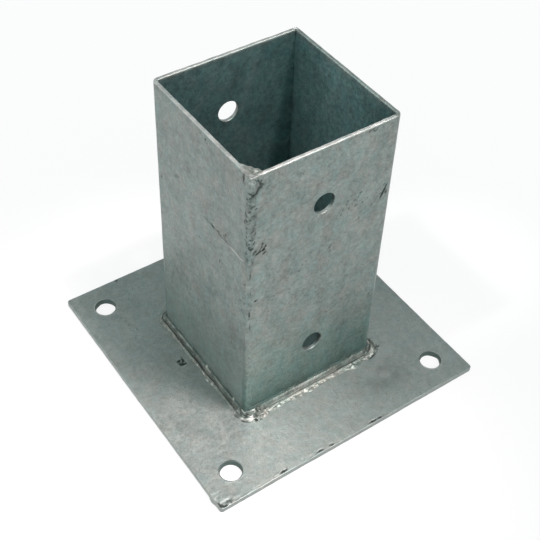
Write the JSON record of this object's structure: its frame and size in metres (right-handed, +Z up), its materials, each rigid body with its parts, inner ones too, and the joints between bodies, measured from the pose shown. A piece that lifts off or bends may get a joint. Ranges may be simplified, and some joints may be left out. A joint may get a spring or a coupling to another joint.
{
  "type": "timber post base",
  "caption": "Bolt-down galvanised steel post base: an open square sleeve, cross-drilled for post bolts, welded to a square base plate.",
  "frame": {"origin": "middle of the base plate's underside", "axes": "+Z up the sleeve towards its open mouth, +Y along the bolts that pass through the post, X and Y square to the plate's edges"},
  "size_m": [0.1508, 0.15, 0.153],
  "materials": {
    "zinc_sheet": "hot-dip galvanised, dull grey with faint streaks",
    "zinc_weld": "hot-dip galvanised over a rough weld bead"
  },
  "bodies": {
    "root": {"base_plate": "zinc_sheet", "sleeve_angle_front": "zinc_sheet", "sleeve_angle_rear": "zinc_sheet", "seam_weld_front": "zinc_weld", "seam_weld_rear": "zinc_weld", "foot_weld_front": "zinc_weld", "foot_weld_left": "zinc_weld", "foot_weld_right": "zinc_weld", "foot_weld_rear": "zinc_weld"}
  },
  "joints": []
}
